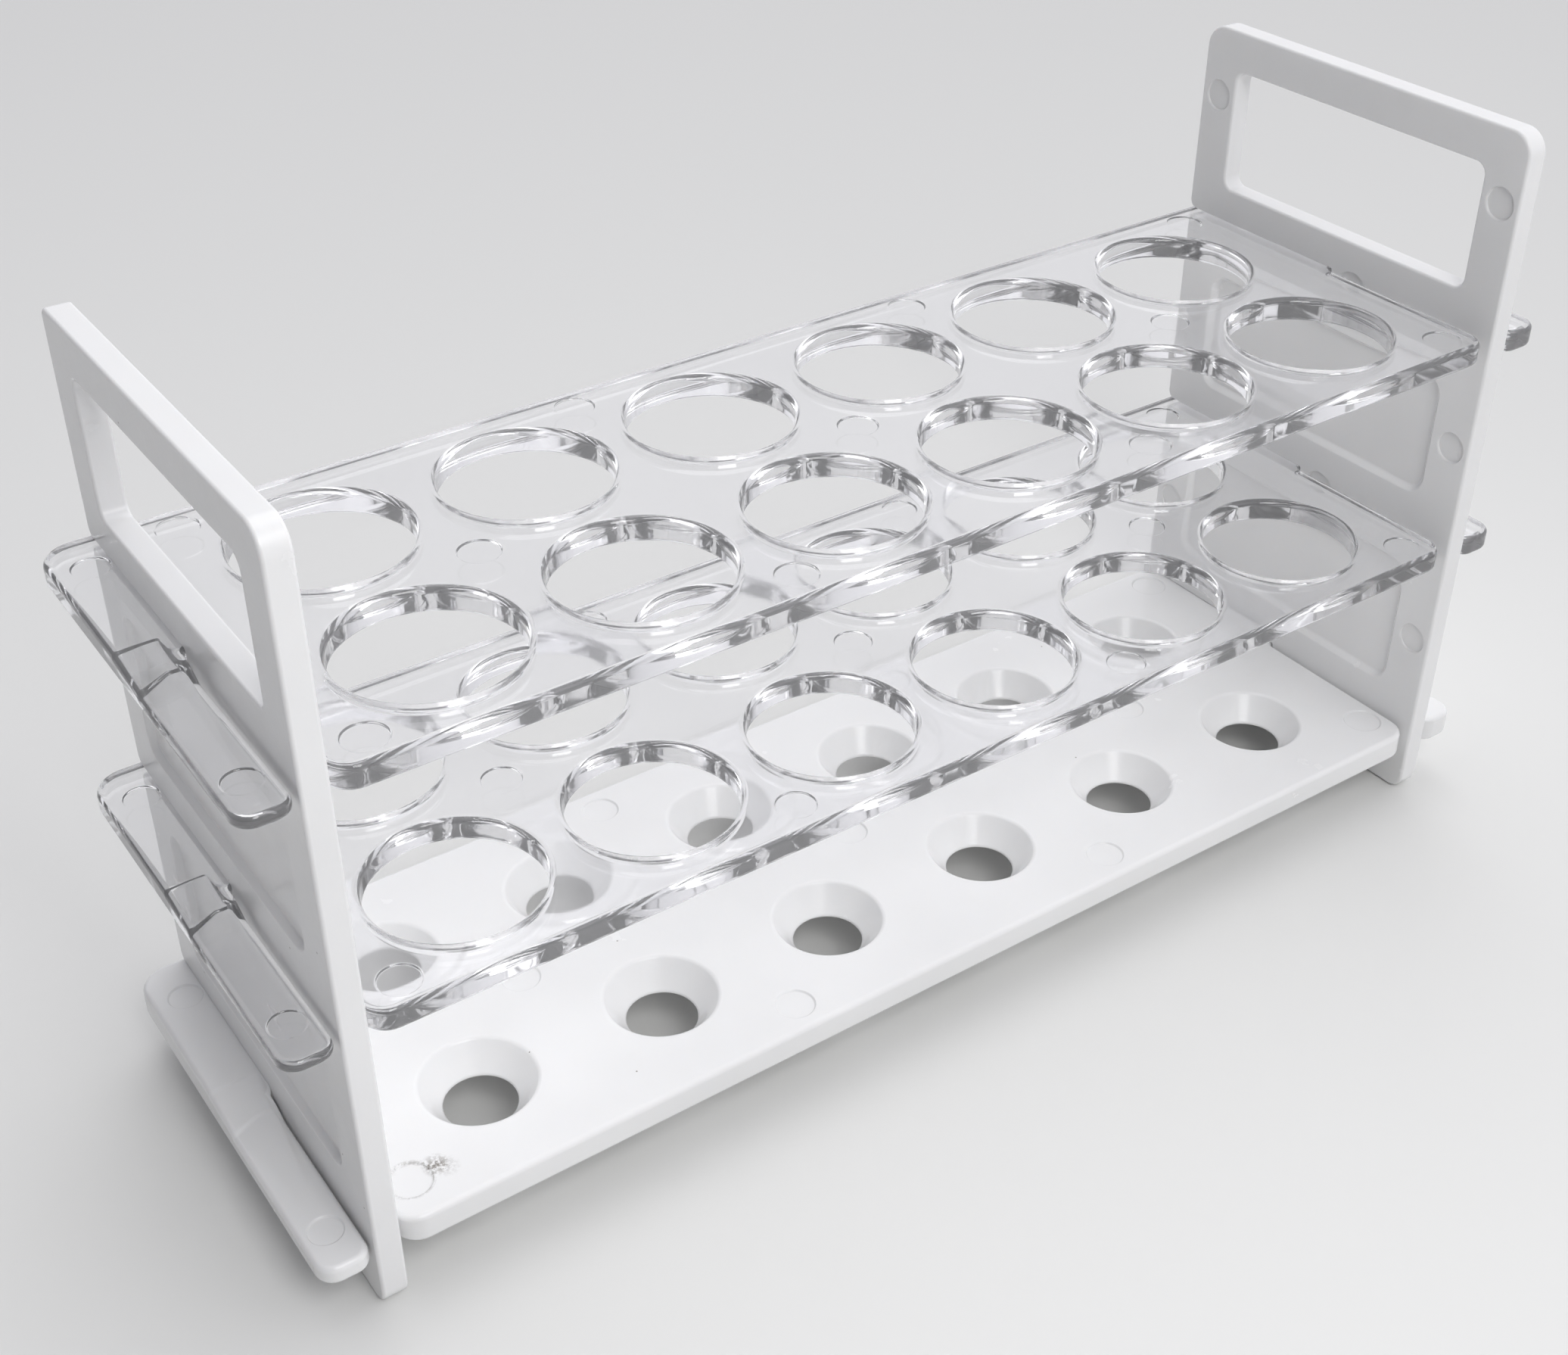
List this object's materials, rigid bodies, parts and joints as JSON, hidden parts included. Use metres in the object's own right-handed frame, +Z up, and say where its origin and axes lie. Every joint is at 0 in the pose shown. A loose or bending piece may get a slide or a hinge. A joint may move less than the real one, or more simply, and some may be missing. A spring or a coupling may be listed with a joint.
{
  "type": "test tube holder",
  "caption": "Three-tier test tube rack: white end plates with handle windows, two clear shelves with round tube holes, and a base shelf with conical seats.",
  "frame": {"origin": "on the ground, at the centre of the outline", "axes": "+X along the length, from end plate to end plate; -Y is the front, from which the shelves' notches are cut; +Z up"},
  "size_m": [0.228, 0.07, 0.126],
  "materials": {
    "white_plastic": "satin moulded surface",
    "clear_plastic": "polished, see-through"
  },
  "bodies": {
    "frame": {"end_plate_left": "white_plastic", "end_plate_right": "white_plastic", "shelf_base": "white_plastic"},
    "top_shelf": {"shelf_top": "clear_plastic"},
    "middle_shelf": {"shelf_middle": "clear_plastic"}
  },
  "joints": [
    {"name": "top_shelf_slide", "type": "slide", "parent": "frame", "child": "top_shelf", "axis": [0, 1, 0], "range_m": [0, 0.072]},
    {"name": "middle_shelf_slide", "type": "slide", "parent": "frame", "child": "middle_shelf", "axis": [0, 1, 0], "range_m": [0, 0.072]}
  ]
}
